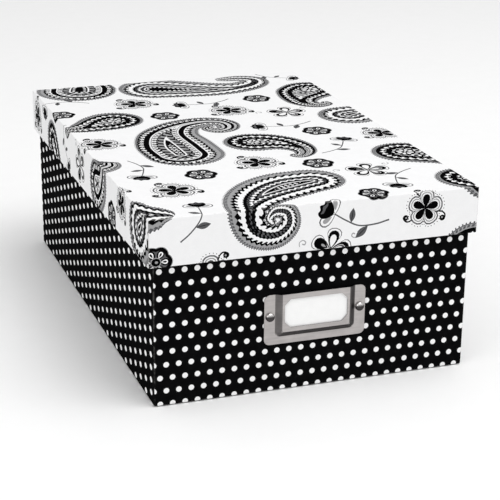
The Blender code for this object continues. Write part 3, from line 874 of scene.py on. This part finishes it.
def cut_sheet(sheet, shapes=()):
    """Cut a flat sheet along all shapes and creases. Returns its places, triangles and inks.

    A triangle takes the ink of the last shape that covers it.
    """
    places = []
    edges = []
    faces = []
    for outline in [sheet] + [outline for outline, _ in shapes]:
        faces.append(list(range(len(places), len(places) + len(outline))))
        places += list(outline)
    for line in crease_lines():
        edges.append((len(places), len(places) + 1))
        places += line
    flat = [Vector((place.real, place.imag)) for place in places]
    cut = delaunay_2d_cdt(flat, edges, faces, INSIDE_OUTLINES, CUT_TOLERANCE, True)
    cut_places, _, cut_triangles, _, _, outlines_round = cut
    inks = [PAPER] + [ink for _, ink in shapes]
    triangles = []
    chosen = []
    for corners, outlines in zip(cut_triangles, outlines_round):
        on_sheet = 0 in outlines
        if on_sheet:
            triangles.append(corners)
            chosen.append(inks[max(outlines)])
    used, corners = np.unique(triangles, return_inverse=True)
    places = np.array([complex(*place) for place in cut_places])[used]
    return places, corners.reshape(-1, 3), chosen


def rim_loop(triangles):
    """The corners round the open edge of a sheet, in order."""
    ways = set()
    for first, second, third in triangles.tolist():
        ways |= {(first, second), (second, third), (third, first)}

    # On the rim an edge has a triangle on one side only, so no other goes along it the other way
    following = {start: end for start, end in ways if (end, start) not in ways}
    loop = [min(following)]
    while following[loop[-1]] != loop[0]:
        loop.append(following[loop[-1]])
    return np.array(loop)


def closed_sheet():
    """The printed sheet with its plain back and its cut edge, folded and closed all round.

    Returns its vertices, its faces with their inks, and the direction at each corner of a face.
    """
    places, triangles, chosen = cut_sheet(sheet_outline(), lid_print())
    rim = rim_loop(triangles)
    back_places, back_triangles, _ = cut_sheet(places[rim])
    back_rim = rim_loop(back_triangles)
    start = np.argmin(abs(back_places[back_rim] - places[rim[0]]))
    back_rim = np.roll(back_rim, -start) + len(places)

    front, facing = folded(places)
    back, back_facing = folded(back_places)
    vertices = np.concatenate([front, back - SHEET_THICKNESS * MM * back_facing])
    edge = np.stack([np.roll(rim, -1), rim, back_rim, np.roll(back_rim, -1)], axis=1)
    turned_back = back_triangles[:, ::-1] + len(places)
    faces = triangles.tolist() + turned_back.tolist() + edge.tolist()
    inks = chosen + [PAPER] * (len(turned_back) + len(edge))

    front_directions = facing[triangles.ravel()]
    back_directions = -back_facing[back_triangles[:, ::-1].ravel()]
    unset = np.zeros((edge.size, 3))
    directions = np.concatenate([front_directions, back_directions, unset])
    return vertices, faces, inks, directions


def printed_lid_paper():
    vertices, faces, inks, directions = closed_sheet()
    mesh = bpy.data.meshes.new("lid_printed_paper")
    mesh.from_pydata(vertices.tolist(), [], faces)
    for name, colour, roughness, specular in INKS:
        mesh.materials.append(paper_look(name, colour, roughness, specular, rubbed_and_shaded=BARE_PAPER_AND_CREASE_SHADE))
    mesh.polygons.foreach_set("material_index", inks)
    mesh.shade_smooth()
    mesh.normals_split_custom_set(directions.tolist())
    paper = bpy.data.objects.new("lid_printed_paper", mesh)
    bpy.context.scene.collection.objects.link(paper)
    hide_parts("lid_wrap")
    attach(paper, "lid")


# Finishes of the CAD pieces

# Dots on the tray in metres: (dot to dot, row to row, and where a dot is along and across the rows)
END_DOTS = (0.0072, 0.00783, -0.0907, 0.0798)
SIDE_DOTS = (0.0076, 0.0108, 0.0755, -0.138)
DOT_RADIUS = 0.00163
SIDE_DOT_STRETCH = 1.35
DOT_SOFTNESS = 0.00008
TRAY_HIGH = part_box("base_wrap")[1]


def dots(along, across, layout, stretch=1.0):
    """1 on staggered dots, which may be stretched across their rows, and 0 between them."""
    pitch, row, start_along, start_across = layout
    nearest = None

    # Every second row is shifted by half of the distance between dots
    for shift in (0.0, 0.5):
        column = (along + ((0.5 + shift) * pitch - start_along)) % pitch - 0.5 * pitch
        line = ((across + ((1 + 2 * shift) * row - start_across)) % (2 * row) - row) / stretch
        distance = (column * column + line * line).root()
        nearest = distance if nearest is None else nearest.least(distance)
    return nearest.between(DOT_RADIUS + DOT_SOFTNESS, DOT_RADIUS - DOT_SOFTNESS)


def dotted_paper():
    """Black paper with white dots. Its rows run across on the ends and up and down on the long sides."""
    look = Pattern("base_dotted_paper", specular=0.0004)
    x, y, z = look.parts("Object")
    from_side = abs(x) * -1.0 + TRAY_HIGH.x
    from_end = abs(y) * -1.0 + TRAY_HIGH.y

    # Where the paper is turned under the tray, its rows run on inwards as if it went further down
    height = z - from_side.least(from_end)
    on_side = from_end > from_side
    end_dots = dots(x, height, END_DOTS)
    side_dots = dots(height, y, SIDE_DOTS, SIDE_DOT_STRETCH)
    ink = end_dots * (on_side * -1.0 + 1.0) + side_dots * on_side
    fibre, mottle = paper_grain(look, PRINT_TOOTH)
    black = look.mix(mottle, (0.002, 0.002, 0.0022), (0.006, 0.006, 0.0065))
    white = look.mix(fibre, (0.88, 0.88, 0.88), (0.95, 0.95, 0.95))
    printed = look.mix(ink, black, white)
    look.set_colour(look.mix(look.worn_and_shaded_folds() * TRAY_WEAR, printed, BARE_PAPER_AND_CREASE_SHADE))
    look.set_roughness(mottle * 0.14 + 0.5)
    return look.material


def board_look():
    """Raw greyboard with flecks of recycled fibre."""
    look = Pattern("greyboard", roughness=0.92)
    fleck = look.noise(scale=900, detail=5, roughness=0.7)
    cloud = look.noise(scale=90, detail=2)
    look.set_colour(look.mix(fleck * 0.7 + cloud * 0.3, (0.27, 0.24, 0.20), (0.47, 0.43, 0.36)))
    look.set_bump(fleck, depth=0.00008)
    return look.material


def tape_look():
    """Brown paper tape whose fibres run up and down."""
    look = Pattern("gummed_tape", roughness=0.75)
    fibre = look.noise(scale=700, detail=4, stretch=(1, 1, 0.2))
    look.set_colour(look.mix(fibre, (0.44, 0.30, 0.17), (0.62, 0.45, 0.28)))
    look.set_bump(fibre, depth=0.00003)
    return look.material


def metal_look(name, light, dark, roughness, brushing, painted_shade_rule):
    """Dull plated steel, brushed along the plate, with painted shade on the faces that a rule names."""
    look = Pattern(name, metallic=1.0)
    strokes = look.noise(scale=900, detail=3, stretch=(0.06, 1, 1))
    cloud = look.noise(scale=160, detail=3, lift=0.4)
    plate = look.mix((strokes * 0.5 + cloud * 0.5).between(0.25, 0.8), dark, light)
    # Painted shade: a dark colour that stands in for dark reflections and shadows on the faces the rule
    # names
    painted_shade = look.mix(cloud, (0.030, 0.027, 0.028), (0.075, 0.070, 0.070))
    look.set_colour(look.mix(painted_shade_rule(*look.parts("Normal")), plate, painted_shade))
    look.set_roughness(cloud * 0.12 + strokes * 0.08 + (roughness - 0.1))
    bump = look.set_bump(strokes, depth=0.00001, strength=brushing)
    rounding = look.node("ShaderNodeBevel", samples=EDGE_SAMPLES)
    rounding.inputs["Radius"].default_value = EDGE_ROUNDING
    look.tree.links.new(rounding.outputs["Normal"], bump.inputs["Normal"])
    return look.material


def slope_and_edge_shade(x, _, z):
    """Painted shade and shadow lines: 1 on slopes and cut edges, which don't face straight out, and less
    where they face left.
    """
    return abs(x).most(abs(z)).between(0.06, 0.24) * (x.between(-0.05, -0.3) * -0.22 + 1.0)


def dome_underside_shade(_, y, z):
    """Painted shade: 1 on the underside of a domed head, and 0 above it."""
    return z.between(0.42, 0.1) * y.between(0.3, 0.0)


def dress(material, *names):
    for name in names:
        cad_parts[name].data.materials.clear()
        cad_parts[name].data.materials.append(material)


def dress_frame():
    stays = [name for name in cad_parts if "corner_stay" in name]
    dress(dotted_paper(), "base_wrap")
    dress(board_look(), "base_board", "lid_board")
    dress(tape_look(), *stays)
    lining = paper_look("lining_paper", (0.80, 0.79, 0.77), 0.8, tooth=1.0)
    dress(lining, "base_lining", "lid_lining", "base_underside_sheet")
    dress(paper_look("card_stock", (0.97, 0.97, 0.965), 0.6, tooth=0.8), "label_card")
    holder = metal_look(
        "holder_metal", light=(0.53, 0.50, 0.49), dark=(0.39, 0.37, 0.365),
        roughness=0.36, brushing=0.4, painted_shade_rule=slope_and_edge_shade,
    )
    dress(holder, "label_holder")
    brad = metal_look(
        "brad_metal", light=(0.93, 0.91, 0.90), dark=(0.70, 0.68, 0.67),
        roughness=0.26, brushing=0.2, painted_shade_rule=dome_underside_shade,
    )
    dress(brad, "left_brad", "right_brad")


make_camera()
make_studio()
printed_lid_paper()
dress_frame()
